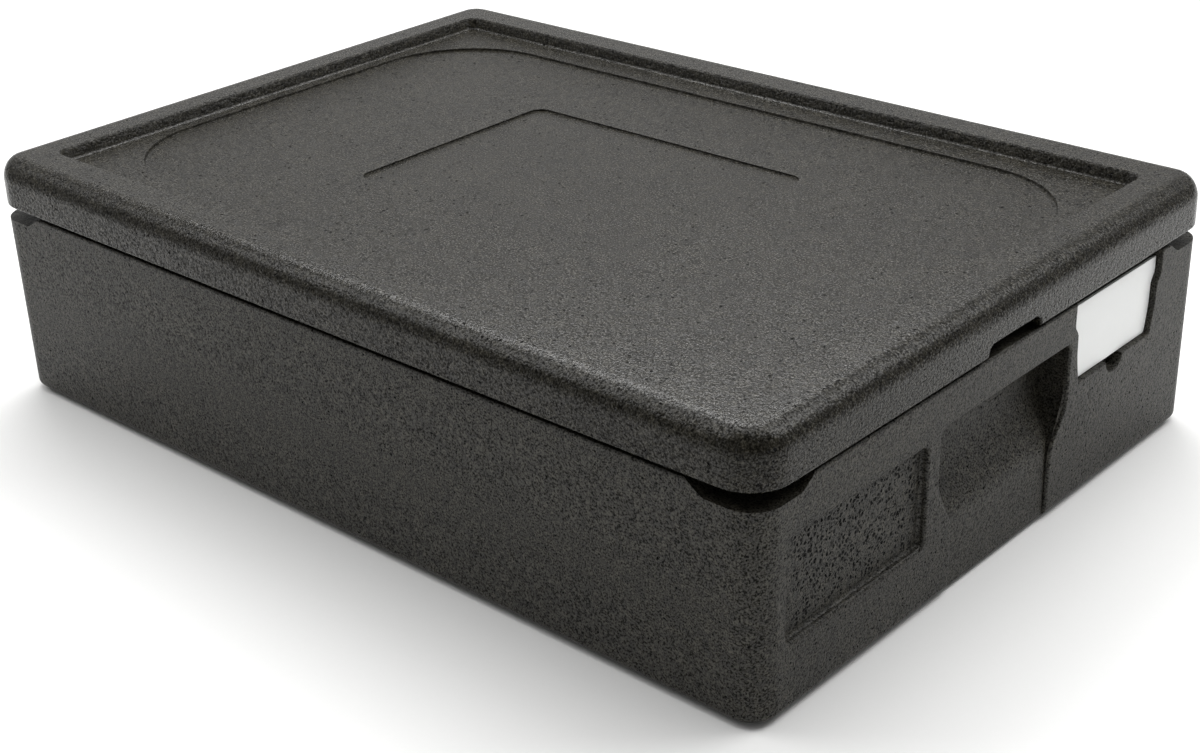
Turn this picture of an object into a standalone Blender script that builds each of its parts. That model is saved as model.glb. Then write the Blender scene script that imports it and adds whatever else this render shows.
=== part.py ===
"""Insulated food carrier: a moulded foam tray box with a lift-off lid and two label plates.

The box stands on the ground with its long side along X. Each sub-part is one object.
"""

import math

import bmesh
import bpy

# ---------------------------------------------------------------- overall sizes (metres)
LENGTH = 0.685
WIDTH = 0.485
HEIGHT = 0.180
LID_SKIRT_HEIGHT = 0.034
BODY_INSET = 0.002          # the box side stands this far inside the lid edge
BODY_DRAFT = 0.002          # the box side leans in by this much at the bottom
BODY_CORNER_RADIUS = 0.020
BODY_BOTTOM_RADIUS = 0.005
LID_CORNER_RADIUS = 0.027

# ---------------------------------------------------------------- tub
FOOT_HEIGHT = 0.003
FOOT_CLEARANCE = 0.005      # foot of the next box up inside the lid recess
WALL_TO_CAVITY = 0.0295     # box side to the tray space, at the rim
CAVITY_DRAFT = 0.003
CAVITY_CORNER_RADIUS = 0.028
CAVITY_FLOOR_RADIUS = 0.008
FLOOR_THICKNESS = 0.027
SHADOW_GAP = 0.003          # open line between the outer rim and the lid edge
LAND_WIDTH = 0.0125         # raised inner land that carries the lid
LAND_CORNER_RADIUS = 0.028
EDGE_RADIUS = 0.0015

# ---------------------------------------------------------------- lid
LID_TOP_RADIUS = 0.015
RIM_ALONG_X = 0.033         # lid edge to the stacking recess, on the short ends
RIM_ALONG_Y = 0.036         # lid edge to the stacking recess, on the long sides
RECESS_DEPTH = 0.0085
RECESS_SLOPE = 0.004          # how far the recess wall leans in, top to floor
RECESS_CORNER_RADIUS = 0.010
PANEL_MARGIN_X = 0.0125
PANEL_MARGIN_Y = 0.0255
PANEL_CORNER_RADIUS = 0.080
PANEL_DEPTH = 0.0018
BADGE_LENGTH = 0.246
BADGE_WIDTH = 0.182
BADGE_CORNER_RADIUS = 0.010
BADGE_DEPTH = 0.0015
PLUG_DEPTH = 0.018
PLUG_DRAFT = 0.0012
PLUG_SIDE_CLEARANCE = 0.0007
LID_NOTCH_LENGTH = 0.057
LID_NOTCH_HEIGHT = 0.0074
LID_NOTCH_DEPTH = 0.014

# ---------------------------------------------------------------- corner lift notches
CORNER_NOTCH_DEPTH = 0.0077  # below the outer rim
CORNER_NOTCH_REACH = 0.0480  # from the square corner to the notch end, at the rim
CORNER_NOTCH_SLOPE = 0.0108  # length of the sloping end
CORNER_NOTCH_INWARD = 0.0150
CORNER_NOTCH_RADIUS = 0.0220

# ---------------------------------------------------------------- grips on the short ends
GRIP_WIDTH = 0.142
GRIP_CHANNEL_WIDTH = 0.110
GRIP_BAR_HEIGHT = 0.026     # foam between the rim and the finger hollow
GRIP_HOLLOW_HEIGHT = 0.042  # full-width part of the hollow
GRIP_SHOULDER_HEIGHT = 0.028  # from the hollow down to the channel
GRIP_DEPTH = 0.022
GRIP_CHANNEL_DEPTH = 0.003

# ---------------------------------------------------------------- coarse field on the short ends
FIELD_WIDTH = 0.1305
FIELD_HEIGHT = 0.0655
FIELD_BELOW_RIM = 0.031
FIELD_FROM_GRIP = 0.013     # web between the grip and the field
FIELD_DEPTH = 0.005
FIELD_CORNER_RADIUS = 0.004

# ---------------------------------------------------------------- label plate and its pocket
LABEL_FROM_GRIP = 0.0048    # web between the grip hollow and the plate
LABEL_BELOW_RIM = 0.0055
LABEL_HEIGHT = 0.0512
LABEL_HALF_WIDTH = 0.0535
LABEL_STEP = 0.0045         # the plate narrows by this much below its top band
LABEL_BAND_HEIGHT = 0.013
LABEL_TAPER = 0.0040
LABEL_THICKNESS = 0.0022
LABEL_SETBACK = 0.0045      # plate face behind the box side
PUSH_NOTCH_RADIUS = 0.0106
PUSH_NOTCH_DEPTH = 0.010

# ---------------------------------------------------------------- fits
REST_GAP = 0.0003           # between two pieces that touch
CORNER_STEPS = 7
CUT_OVERRUN = 0.004         # how far a cutter stands out of the surface it cuts

# ---------------------------------------------------------------- derived sizes
PARTING_Z = HEIGHT - LID_SKIRT_HEIGHT
RIM_Z = PARTING_Z - SHADOW_GAP
LAND_Z = PARTING_Z - REST_GAP
FLOOR_Z = FOOT_HEIGHT + FLOOR_THICKNESS
BODY_X = LENGTH / 2 - BODY_INSET
BODY_Y = WIDTH / 2 - BODY_INSET
CAVITY_X = BODY_X - WALL_TO_CAVITY
CAVITY_Y = BODY_Y - WALL_TO_CAVITY
RECESS_X = LENGTH / 2 - RIM_ALONG_X
RECESS_Y = WIDTH / 2 - RIM_ALONG_Y
GRIP_TOP = RIM_Z - GRIP_BAR_HEIGHT
GRIP_SHOULDER = GRIP_TOP - GRIP_HOLLOW_HEIGHT
GRIP_CHANNEL_TOP = GRIP_SHOULDER - GRIP_SHOULDER_HEIGHT
FIELD_TOP = RIM_Z - FIELD_BELOW_RIM
FIELD_BOTTOM = FIELD_TOP - FIELD_HEIGHT
LABEL_TOP = RIM_Z - LABEL_BELOW_RIM
LABEL_BOTTOM = LABEL_TOP - LABEL_HEIGHT
LABEL_CENTRE = GRIP_WIDTH / 2 + LABEL_FROM_GRIP + LABEL_HALF_WIDTH


def clear_scene():
    """Remove whatever the scene holds."""
    for obj in list(bpy.data.objects):
        bpy.data.objects.remove(obj, do_unlink=True)


def material(name, colour, roughness):
    """Principled material with one colour and roughness."""
    mat = bpy.data.materials.new(name)
    mat.use_nodes = True
    shader = mat.node_tree.nodes["Principled BSDF"]
    shader.inputs["Base Color"].default_value = (*colour, 1.0)
    shader.inputs["Roughness"].default_value = roughness
    mat.diffuse_color = (*colour, 1.0)
    return mat


def outline(half_x, half_y, radius):
    """Rounded rectangle, counter-clockwise, with the same point count at any size."""
    points = []
    corners = ((1, 1, 0.0), (-1, 1, 90.0), (-1, -1, 180.0), (1, -1, 270.0))
    for sign_x, sign_y, start in corners:
        centre_x = sign_x * (half_x - radius)
        centre_y = sign_y * (half_y - radius)
        for step in range(CORNER_STEPS):
            angle = math.radians(start + 90.0 * step / (CORNER_STEPS - 1))
            points.append((centre_x + radius * math.cos(angle), centre_y + radius * math.sin(angle)))
    return points


def ring(half_x, half_y, radius, z):
    """Rounded rectangle at one height."""
    return [(x, y, z) for x, y in outline(half_x, half_y, radius)]


def loft(name, rings):
    """Closed solid through rings of equal point count, capped at both ends."""
    mesh = bpy.data.meshes.new(name)
    bm = bmesh.new()
    loops = [[bm.verts.new(co) for co in points] for points in rings]
    count = len(loops[0])
    for lower, upper in zip(loops, loops[1:]):
        for i in range(count):
            j = (i + 1) % count
            bm.faces.new((lower[i], lower[j], upper[j], upper[i]))
    bm.faces.new(list(reversed(loops[0])))
    bm.faces.new(loops[-1])
    bmesh.ops.recalc_face_normals(bm, faces=bm.faces)
    for face in bm.faces:
        face.smooth = len(face.verts) == 4
    bm.to_mesh(mesh)
    bm.free()
    mesh.set_sharp_from_angle(angle=math.radians(35.0))
    obj = bpy.data.objects.new(name, mesh)
    bpy.context.scene.collection.objects.link(obj)
    return obj


def cut(target, cutter):
    """Take the cutter's shape out of the target with an exact boolean."""
    cutter.hide_render = True
    cutter.display_type = "WIRE"
    modifier = target.modifiers.new(cutter.name, "BOOLEAN")
    modifier.operation = "DIFFERENCE"
    modifier.solver = "EXACT"
    modifier.object = cutter


def quarter(steps, start, end):
    """Angles in radians from start to end degrees."""
    return [math.radians(start + (end - start) * i / steps) for i in range(steps + 1)]


def body_side(z):
    """Distance of the drafted box side inside its size at the rim, at height z."""
    return BODY_DRAFT * (RIM_Z - z) / (RIM_Z - FOOT_HEIGHT)


def tub_rings():
    """Rings from the underside, over the rim and down to the tray floor."""
    foot_x = RECESS_X - FOOT_CLEARANCE
    foot_y = RECESS_Y - FOOT_CLEARANCE
    rings = [
        ring(foot_x - 0.001, foot_y - 0.001, RECESS_CORNER_RADIUS, 0.0),
        ring(foot_x, foot_y, RECESS_CORNER_RADIUS, FOOT_HEIGHT),
    ]
    for angle in quarter(4, -90.0, 0.0):
        z = FOOT_HEIGHT + BODY_BOTTOM_RADIUS * (1.0 + math.sin(angle))
        inset = BODY_BOTTOM_RADIUS * (1.0 - math.cos(angle)) + body_side(z)
        rings.append(ring(BODY_X - inset, BODY_Y - inset, BODY_CORNER_RADIUS - inset, z))
    for angle in quarter(2, 0.0, 90.0):
        z = RIM_Z - EDGE_RADIUS * (1.0 - math.sin(angle))
        inset = EDGE_RADIUS * (1.0 - math.cos(angle)) + body_side(z)
        rings.append(ring(BODY_X - inset, BODY_Y - inset, BODY_CORNER_RADIUS - inset, z))
    land_x = CAVITY_X + LAND_WIDTH
    land_y = CAVITY_Y + LAND_WIDTH
    rings.append(ring(land_x, land_y, LAND_CORNER_RADIUS, RIM_Z))
    rings.append(ring(land_x - 0.0004, land_y - 0.0004, LAND_CORNER_RADIUS, LAND_Z))
    for angle in quarter(2, 90.0, 180.0):
        z = LAND_Z - EDGE_RADIUS * (1.0 - math.sin(angle))
        outset = EDGE_RADIUS * (1.0 + math.cos(angle))
        rings.append(ring(CAVITY_X + outset, CAVITY_Y + outset, CAVITY_CORNER_RADIUS + outset, z))
    floor_x = CAVITY_X - CAVITY_DRAFT
    floor_y = CAVITY_Y - CAVITY_DRAFT
    for angle in quarter(4, 0.0, 90.0):
        z = FLOOR_Z + CAVITY_FLOOR_RADIUS * (1.0 - math.sin(angle))
        inset = CAVITY_FLOOR_RADIUS * (1.0 - math.cos(angle))
        rings.append(ring(floor_x - inset, floor_y - inset, CAVITY_CORNER_RADIUS - inset, z))
    return rings


def lid_rings():
    """Rings from the plug underside, around the skirt and down to the top panel."""
    plug_x = CAVITY_X - PLUG_SIDE_CLEARANCE
    plug_y = CAVITY_Y - PLUG_SIDE_CLEARANCE
    plug_z = PARTING_Z - PLUG_DEPTH
    low_x = plug_x - PLUG_DRAFT
    low_y = plug_y - PLUG_DRAFT
    bevel = 2 * EDGE_RADIUS
    rings = [
        ring(low_x - bevel, low_y - bevel, CAVITY_CORNER_RADIUS - bevel, plug_z),
        ring(low_x, low_y, CAVITY_CORNER_RADIUS, plug_z + bevel),
        ring(plug_x, plug_y, CAVITY_CORNER_RADIUS, PARTING_Z),
    ]
    half_x = LENGTH / 2
    half_y = WIDTH / 2
    for angle in quarter(2, -90.0, 0.0):
        z = PARTING_Z + EDGE_RADIUS * (1.0 + math.sin(angle))
        inset = EDGE_RADIUS * (1.0 - math.cos(angle))
        rings.append(ring(half_x - inset, half_y - inset, LID_CORNER_RADIUS - inset, z))
    for angle in quarter(7, 0.0, 90.0):
        z = HEIGHT - LID_TOP_RADIUS * (1.0 - math.sin(angle))
        inset = LID_TOP_RADIUS * (1.0 - math.cos(angle))
        rings.append(ring(half_x - inset, half_y - inset, LID_CORNER_RADIUS - inset, z))
    lip = 0.001
    rings.append(ring(RECESS_X + lip, RECESS_Y + lip, RECESS_CORNER_RADIUS + lip, HEIGHT))
    rings.append(ring(RECESS_X, RECESS_Y, RECESS_CORNER_RADIUS, HEIGHT - lip))
    recess_z = HEIGHT - RECESS_DEPTH
    floor_x = RECESS_X - RECESS_SLOPE
    floor_y = RECESS_Y - RECESS_SLOPE
    rings.append(ring(floor_x, floor_y, RECESS_CORNER_RADIUS - RECESS_SLOPE, recess_z))
    panel_x = RECESS_X - PANEL_MARGIN_X
    panel_y = RECESS_Y - PANEL_MARGIN_Y
    panel_z = recess_z - PANEL_DEPTH
    slope = PANEL_DEPTH
    rings.append(ring(panel_x, panel_y, PANEL_CORNER_RADIUS, recess_z))
    rings.append(ring(panel_x - slope, panel_y - slope, PANEL_CORNER_RADIUS - slope, panel_z))
    return rings


def turned(points):
    """The same points turned half a turn about the upright axis."""
    return [(-x, -y, z) for x, y, z in points]


def corner_notch_rings(sign_x, sign_y):
    """Cutter rings for one lift notch: corner scoop with sloping ends."""
    rings = []
    slope = CORNER_NOTCH_SLOPE / CORNER_NOTCH_DEPTH
    for z in (RIM_Z - CORNER_NOTCH_DEPTH, RIM_Z + CUT_OVERRUN):
        reach = CORNER_NOTCH_REACH + slope * (z - RIM_Z)
        near = CORNER_NOTCH_INWARD
        centre = near + CORNER_NOTCH_RADIUS
        points = [(-CUT_OVERRUN, -CUT_OVERRUN), (reach, -CUT_OVERRUN), (reach, near)]
        for angle in quarter(6, 270.0, 180.0):
            points.append((
                centre + CORNER_NOTCH_RADIUS * math.cos(angle),
                centre + CORNER_NOTCH_RADIUS * math.sin(angle),
            ))
        points += [(near, reach), (-CUT_OVERRUN, reach)]
        rings.append([(sign_x * (BODY_X - u), sign_y * (BODY_Y - v), z) for u, v in points])
    return rings


def grip_rings():
    """Cutter rings, bottom to top, for the grip hollow and the channel below it."""
    shoulder_rise = GRIP_SHOULDER - GRIP_CHANNEL_TOP
    half_low = GRIP_CHANNEL_WIDTH / 2
    half_high = GRIP_WIDTH / 2
    levels = (
        (-CUT_OVERRUN, half_low, GRIP_CHANNEL_DEPTH),
        (GRIP_CHANNEL_TOP, half_low, GRIP_CHANNEL_DEPTH),
        (GRIP_CHANNEL_TOP + 0.35 * shoulder_rise, half_low + 0.004, 0.35 * GRIP_DEPTH),
        (GRIP_CHANNEL_TOP + 0.70 * shoulder_rise, half_high - 0.006, 0.65 * GRIP_DEPTH),
        (GRIP_SHOULDER, half_high - 0.002, 0.85 * GRIP_DEPTH),
        (GRIP_SHOULDER + 0.015, half_high, GRIP_DEPTH),
        (GRIP_TOP, half_high, GRIP_DEPTH),
    )
    rings = []
    for z, half, depth in levels:
        back = BODY_X - body_side(max(z, FOOT_HEIGHT)) - depth
        front = BODY_X + CUT_OVERRUN
        rings.append([(back, -half, z), (front, -half, z), (front, half, z), (back, half, z)])
    return rings


def field_rings():
    """Cutter rings, front to back, for the sunken coarse field beside the grip."""
    y_high = -GRIP_WIDTH / 2 - FIELD_FROM_GRIP
    y_low = y_high - FIELD_WIDTH
    mid_y = (y_high + y_low) / 2
    mid_z = (FIELD_TOP + FIELD_BOTTOM) / 2
    half_z = (FIELD_TOP - FIELD_BOTTOM) / 2
    face = BODY_X - body_side(mid_z)
    rings = []
    for x, grow in ((face - FIELD_DEPTH, -0.001), (face + CUT_OVERRUN, 0.001)):
        flat = outline(FIELD_WIDTH / 2 + grow, half_z + grow, FIELD_CORNER_RADIUS + grow)
        rings.append([(x, mid_y + y, mid_z + z) for y, z in flat])
    return rings


def label_outline(clearance, top):
    """Plate profile across Y and Z, grown by the clearance, up to the given top."""
    band = LABEL_TOP - LABEL_BAND_HEIGHT
    wide = LABEL_HALF_WIDTH + clearance
    narrow = wide - LABEL_STEP
    foot = narrow - LABEL_TAPER
    bottom = LABEL_BOTTOM - clearance
    corner = 0.002
    half = [
        (wide, top),
        (wide, band),
        (narrow, band - LABEL_STEP),
        (narrow - 0.2 * LABEL_TAPER, band - 0.4 * (band - bottom)),
        (foot, bottom + corner),
        (foot - corner, bottom),
    ]
    right = [(LABEL_CENTRE + y, z) for y, z in half]
    left = [(LABEL_CENTRE - y, z) for y, z in reversed(half)]
    return right + left


def label_rings():
    """Plate solid, back face to front face."""
    front = BODY_X - LABEL_SETBACK
    back = front - LABEL_THICKNESS
    flat = label_outline(0.0, LABEL_TOP)
    return [[(x, y, z) for y, z in flat] for x in (back, front)]


def pocket_rings():
    """Cutter for the plate pocket, open to the front and the top."""
    back = BODY_X - LABEL_SETBACK - LABEL_THICKNESS - REST_GAP
    flat = label_outline(REST_GAP, RIM_Z + CUT_OVERRUN)
    return [[(x, y, z) for y, z in flat] for x in (back, BODY_X + CUT_OVERRUN)]


def push_notch_rings():
    """Half-round finger notch at the foot of the pocket."""
    rings = []
    for x in (BODY_X - PUSH_NOTCH_DEPTH, BODY_X + CUT_OVERRUN):
        points = [(LABEL_CENTRE + PUSH_NOTCH_RADIUS, LABEL_BOTTOM + 0.003)]
        for angle in quarter(8, 0.0, -180.0):
            y = LABEL_CENTRE + PUSH_NOTCH_RADIUS * math.cos(angle)
            z = LABEL_BOTTOM + 0.9 * PUSH_NOTCH_RADIUS * math.sin(angle)
            points.append((y, z))
        points.append((LABEL_CENTRE - PUSH_NOTCH_RADIUS, LABEL_BOTTOM + 0.003))
        rings.append([(x, y, z) for y, z in points])
    return rings


def lid_notch_rings():
    """Finger notch in the lower edge of the lid, at the middle of a short end."""
    half = LID_NOTCH_LENGTH / 2
    radius = LID_NOTCH_HEIGHT - 0.001
    top = PARTING_Z + LID_NOTCH_HEIGHT
    flat = [(half, PARTING_Z - CUT_OVERRUN)]
    for angle in quarter(4, 0.0, 90.0):
        flat.append((half - radius * (1.0 - math.cos(angle)), top - radius * (1.0 - math.sin(angle))))
    flat += [(-y, z) for y, z in reversed(flat)]
    back = LENGTH / 2 - LID_NOTCH_DEPTH
    return [[(x, y, z) for y, z in flat] for x in (back, LENGTH / 2 + CUT_OVERRUN)]


def at_both_ends(target, name, rings):
    """Cut the same shape into both short ends, the second one turned half a turn."""
    cut(target, loft(name + "_right", rings))
    cut(target, loft(name + "_left", [turned(points) for points in rings]))


def make_body(mat):
    """Tub with its lift notches, grips, coarse fields and label pockets."""
    body = loft("body", tub_rings())
    body.data.materials.append(mat)
    for name, sign_x, sign_y in (
        ("corner_cut_a", 1, -1),
        ("corner_cut_b", 1, 1),
        ("corner_cut_c", -1, 1),
        ("corner_cut_d", -1, -1),
    ):
        cut(body, loft(name, corner_notch_rings(sign_x, sign_y)))
    at_both_ends(body, "grip_cut", grip_rings())
    at_both_ends(body, "field_cut", field_rings())
    at_both_ends(body, "pocket_cut", pocket_rings())
    at_both_ends(body, "push_cut", push_notch_rings())
    return body


def make_lid(mat):
    """Lid with its plug, stacking recess, badge recess and finger notches."""
    lid = loft("lid", lid_rings())
    lid.data.materials.append(mat)
    panel_z = HEIGHT - RECESS_DEPTH - PANEL_DEPTH
    half_x = BADGE_LENGTH / 2
    half_y = BADGE_WIDTH / 2
    badge = loft("badge_cut", [
        ring(half_x - 0.001, half_y - 0.001, BADGE_CORNER_RADIUS - 0.001, panel_z - BADGE_DEPTH),
        ring(half_x + 0.001, half_y + 0.001, BADGE_CORNER_RADIUS + 0.001, panel_z + BADGE_DEPTH),
    ])
    cut(lid, badge)
    at_both_ends(lid, "lid_notch_cut", lid_notch_rings())
    return lid


def make_label(name, mat, rings):
    """One flat label plate."""
    plate = loft(name, rings)
    plate.data.materials.append(mat)
    return plate


def main():
    """Build the four pieces in their places."""
    clear_scene()
    foam = material("moulded_bead_foam", (0.036, 0.035, 0.033), 0.62)
    lid_foam = material("moulded_bead_foam_lid", (0.038, 0.037, 0.035), 0.58)
    plastic = material("white_label_plastic", (0.80, 0.81, 0.81), 0.35)
    make_body(foam)
    make_lid(lid_foam)
    make_label("label_plate_right", plastic, label_rings())
    make_label("label_plate_left", plastic, [turned(points) for points in label_rings()])


main()
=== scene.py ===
"""Look of the insulated food carrier: bead foam tub and lid, white label plates, and a studio."""

import math

import bmesh
import bpy
from mathutils import Matrix, Vector


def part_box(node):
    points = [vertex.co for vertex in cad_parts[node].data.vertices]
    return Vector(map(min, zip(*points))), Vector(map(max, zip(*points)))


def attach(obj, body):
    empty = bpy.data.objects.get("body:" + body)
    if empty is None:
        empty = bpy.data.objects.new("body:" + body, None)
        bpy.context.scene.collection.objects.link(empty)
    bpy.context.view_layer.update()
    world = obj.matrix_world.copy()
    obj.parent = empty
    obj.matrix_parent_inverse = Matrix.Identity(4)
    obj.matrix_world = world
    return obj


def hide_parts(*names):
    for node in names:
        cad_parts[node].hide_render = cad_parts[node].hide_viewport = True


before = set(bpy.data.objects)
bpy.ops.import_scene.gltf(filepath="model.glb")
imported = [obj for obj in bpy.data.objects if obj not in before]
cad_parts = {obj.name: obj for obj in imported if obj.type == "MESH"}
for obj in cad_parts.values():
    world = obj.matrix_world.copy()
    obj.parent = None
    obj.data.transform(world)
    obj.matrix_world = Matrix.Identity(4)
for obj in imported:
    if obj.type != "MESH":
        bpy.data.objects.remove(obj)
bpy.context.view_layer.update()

bl_info = {
    "name": "Insulated food carrier look",
    "version": (1, 0, 0),
    "blender": (4, 5, 0),
    "location": "View3D > Sidebar > Carrier",
    "description": "Builds the visible pieces of a foam food carrier around its packed frame",
    "category": "Object",
}

BODY_LOW, BODY_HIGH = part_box("body")
LID_LOW, LID_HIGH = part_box("lid")
PLATE_LOW, PLATE_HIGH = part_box("label_plate_right")
LID_LOW_EDGE = 0.146            # height of the lid's lower edge
OVERCUT = 0.006                 # how far a cutter stands proud of the face it cuts
CAVITY_RADIUS = 0.028           # plan radius of the tray space's corners, at the rim
PLUG_CLEARANCE = 0.0007         # lid plug to tray space wall
POCKET_CLEARANCE = 0.0003       # label plate to its pocket
FIELD_Y = (-0.2145, -0.0840)    # sunken coarse field on the right end, along Y
FIELD_Z = (0.0465, 0.1120)      # and its heights
FOOT_INSET = (0.038, 0.041)     # lid edge to the stacking foot, along X and Y
RECESS_CORNER = 0.009           # plan radius of the lid's stacking recess
PANEL_MARGIN = (0.0125, 0.0255)  # recess edge to the round-cornered panel, along X and Y
PANEL_CORNER = 0.080            # plan radius of that panel
PLATE_MID_Y = 0.5 * (PLATE_LOW[1] + PLATE_HIGH[1])
# finger hollow from its foot to its back: depth behind the end face, height of its lower edge
GRIP_SLOPE = (
    (0.0030, 0.0465), (0.0036, 0.0500), (0.0048, 0.0545), (0.0083, 0.0600), (0.0125, 0.0660),
    (0.0162, 0.0725), (0.0190, 0.0790), (0.0208, 0.0860), (0.0216, 0.0930), (0.0220, 0.1020),
)


# ---------------------------------------------------------------- settings
class CarrierTubSettings(bpy.types.PropertyGroup):
    """Sizes of the foam tub."""

    side_inset: bpy.props.FloatProperty(
        name="Side inset", description="How far the tub side stands inside the lid edge",
        default=0.002, unit="LENGTH")
    side_draft: bpy.props.FloatProperty(
        name="Side draft", description="How much each tub side leans in towards the bottom",
        default=0.002, unit="LENGTH")
    corner_radius: bpy.props.FloatProperty(
        name="Corner radius", description="Plan radius of the upright corners",
        default=0.020, unit="LENGTH")
    bottom_radius: bpy.props.FloatProperty(
        name="Bottom radius", description="Rounding of the lower edge",
        default=0.005, unit="LENGTH")
    foot_height: bpy.props.FloatProperty(
        name="Foot height", description="Height of the stacking foot under the tub",
        default=0.003, unit="LENGTH")
    shadow_gap: bpy.props.FloatProperty(
        name="Shadow gap", description="Open line between the tub rim and the lid edge",
        default=0.003, unit="LENGTH")
    wall: bpy.props.FloatProperty(
        name="Wall", description="Foam thickness beside the tray space, at the rim",
        default=0.0295, unit="LENGTH")
    floor: bpy.props.FloatProperty(
        name="Floor", description="Height of the tray floor above the ground",
        default=0.030, unit="LENGTH")
    land_width: bpy.props.FloatProperty(
        name="Land width", description="Width of the raised inner edge that carries the lid",
        default=0.0125, unit="LENGTH")
    notch_depth: bpy.props.FloatProperty(
        name="Lift notch depth", description="Depth of the corner lift notches below the rim",
        default=0.0077, unit="LENGTH")
    notch_reach: bpy.props.FloatProperty(
        name="Lift notch reach", description="Square corner to the end of a lift notch, at the rim",
        default=0.048, unit="LENGTH")
    notch_inward: bpy.props.FloatProperty(
        name="Lift notch inward", description="Side face to the inner wall of a lift notch",
        default=0.015, unit="LENGTH")
    grip_width: bpy.props.FloatProperty(
        name="Grip width", description="Width of the finger hollow on a short end",
        default=0.142, unit="LENGTH")
    grip_channel: bpy.props.FloatProperty(
        name="Grip channel width", description="Width of the shallow channel below the grip",
        default=0.110, unit="LENGTH")
    grip_top: bpy.props.FloatProperty(
        name="Grip top", description="Height of the underside of the grip bar",
        default=0.117, unit="LENGTH")
    field_depth: bpy.props.FloatProperty(
        name="Coarse field depth", description="How far the open-bead field is sunk",
        default=0.005, unit="LENGTH")


class CarrierLidSettings(bpy.types.PropertyGroup):
    """Sizes of the foam lid."""

    corner_radius: bpy.props.FloatProperty(
        name="Corner radius", description="Plan radius of the lid corners",
        default=0.027, unit="LENGTH")
    top_radius: bpy.props.FloatProperty(
        name="Top radius", description="Rounding of the top edge",
        default=0.0155, unit="LENGTH")
    top_corner: bpy.props.FloatProperty(
        name="Top corner", description="Plan radius of the corners where the rounding meets the top",
        default=0.004, unit="LENGTH")
    rim_x: bpy.props.FloatProperty(
        name="Rim on the short ends", description="Lid edge to the stacking recess",
        default=0.033, unit="LENGTH")
    rim_y: bpy.props.FloatProperty(
        name="Rim on the long sides", description="Lid edge to the stacking recess",
        default=0.036, unit="LENGTH")
    recess_depth: bpy.props.FloatProperty(
        name="Recess depth", description="Depth of the stacking recess below the rim",
        default=0.0085, unit="LENGTH")
    panel_depth: bpy.props.FloatProperty(
        name="Panel depth", description="Step down from the recess floor to the round-cornered panel",
        default=0.0018, unit="LENGTH")
    badge_depth: bpy.props.FloatProperty(
        name="Badge depth", description="Depth of the bare badge recess",
        default=0.0015, unit="LENGTH")
    notch_height: bpy.props.FloatProperty(
        name="Notch height", description="Height of the finger notch in the lid edge",
        default=0.0074, unit="LENGTH")


class CarrierFinishSettings(bpy.types.PropertyGroup):
    """Colours and bead sizes."""

    tub_colour: bpy.props.StringProperty(
        name="Tub foam", description="Colour of the black-pigmented foam tub, as sRGB hex",
        default="292721")
    lid_colour: bpy.props.StringProperty(
        name="Lid foam", description="Colour of the black-pigmented foam lid, as sRGB hex",
        default="22201A")
    plate_colour: bpy.props.StringProperty(
        name="Label plate", description="Colour of the label plates, as sRGB hex",
        default="EDEEED")
    bead_size: bpy.props.FloatProperty(
        name="Bead size", description="Width of one expanded foam bead",
        default=0.0032, unit="LENGTH")
    pit_spacing: bpy.props.FloatProperty(
        name="Pit spacing", description="Distance between open pits on the moulded skin",
        default=0.0042, unit="LENGTH")
    tub_roughness: bpy.props.FloatProperty(
        name="Tub roughness", description="Middle roughness of the tub's skin", default=0.44)
    tub_shine: bpy.props.FloatProperty(
        name="Tub shine", description="Specular level of the smoothest spots of the tub", default=0.56)
    lid_roughness: bpy.props.FloatProperty(
        name="Lid roughness", description="Middle roughness of the lid's skin", default=0.17)
    lid_shine: bpy.props.FloatProperty(
        name="Lid shine", description="Specular level of the smoothest spots of the lid", default=0.38)


class CarrierStageSettings(bpy.types.PropertyGroup):
    """Studio floor, light and camera."""

    floor_colour: bpy.props.StringProperty(
        name="Floor", description="Colour of the studio floor, as sRGB hex", default="F6F6F5")
    overhead_power: bpy.props.FloatProperty(
        name="Overhead", description="Power of the overhead softbox in watts", default=32.0)
    strip_power: bpy.props.FloatProperty(
        name="Rear left", description="Power of the rear left strip light in watts", default=12.0)
    side_power: bpy.props.FloatProperty(
        name="Rear right", description="Power of the rear right softbox in watts", default=12.0)
    front_power: bpy.props.FloatProperty(
        name="Front left", description="Power of the front left softbox in watts", default=8.0)
    lens: bpy.props.FloatProperty(
        name="Lens", description="Focal length of the camera in millimetres", default=60.47)


# ---------------------------------------------------------------- shared helpers
def linear(hex_colour):
    """Linear RGBA of an sRGB hex colour."""
    channels = []
    for start in (0, 2, 4):
        value = int(hex_colour[start:start + 2], 16) / 255.0
        channels.append(value / 12.92 if value <= 0.04045 else ((value + 0.055) / 1.055) ** 2.4)
    return (*channels, 1.0)


def scaled(colour, factor):
    """Linear RGBA made darker or lighter."""
    return (*(factor * channel for channel in colour[:3]), 1.0)


def add_node(tree, kind, settings, inputs):
    """Add one node, set its options, then its sockets from values or from other sockets."""
    node = tree.nodes.new(kind)
    for name, value in settings.items():
        setattr(node, name, value)
    for name, value in inputs.items():
        if isinstance(value, bpy.types.NodeSocket):
            tree.links.new(value, node.inputs[name])
        else:
            node.inputs[name].default_value = value
    return node


def new_material(name):
    """Empty node material with its output node."""
    mat = bpy.data.materials.new(name)
    mat.use_nodes = True
    mat.node_tree.nodes.clear()
    output = mat.node_tree.nodes.new("ShaderNodeOutputMaterial")
    return mat, mat.node_tree, output


def quarter(steps, start=0.0, end=90.0):
    """Angles in radians from start to end degrees."""
    return [math.radians(start + (end - start) * i / steps) for i in range(steps + 1)]


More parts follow.
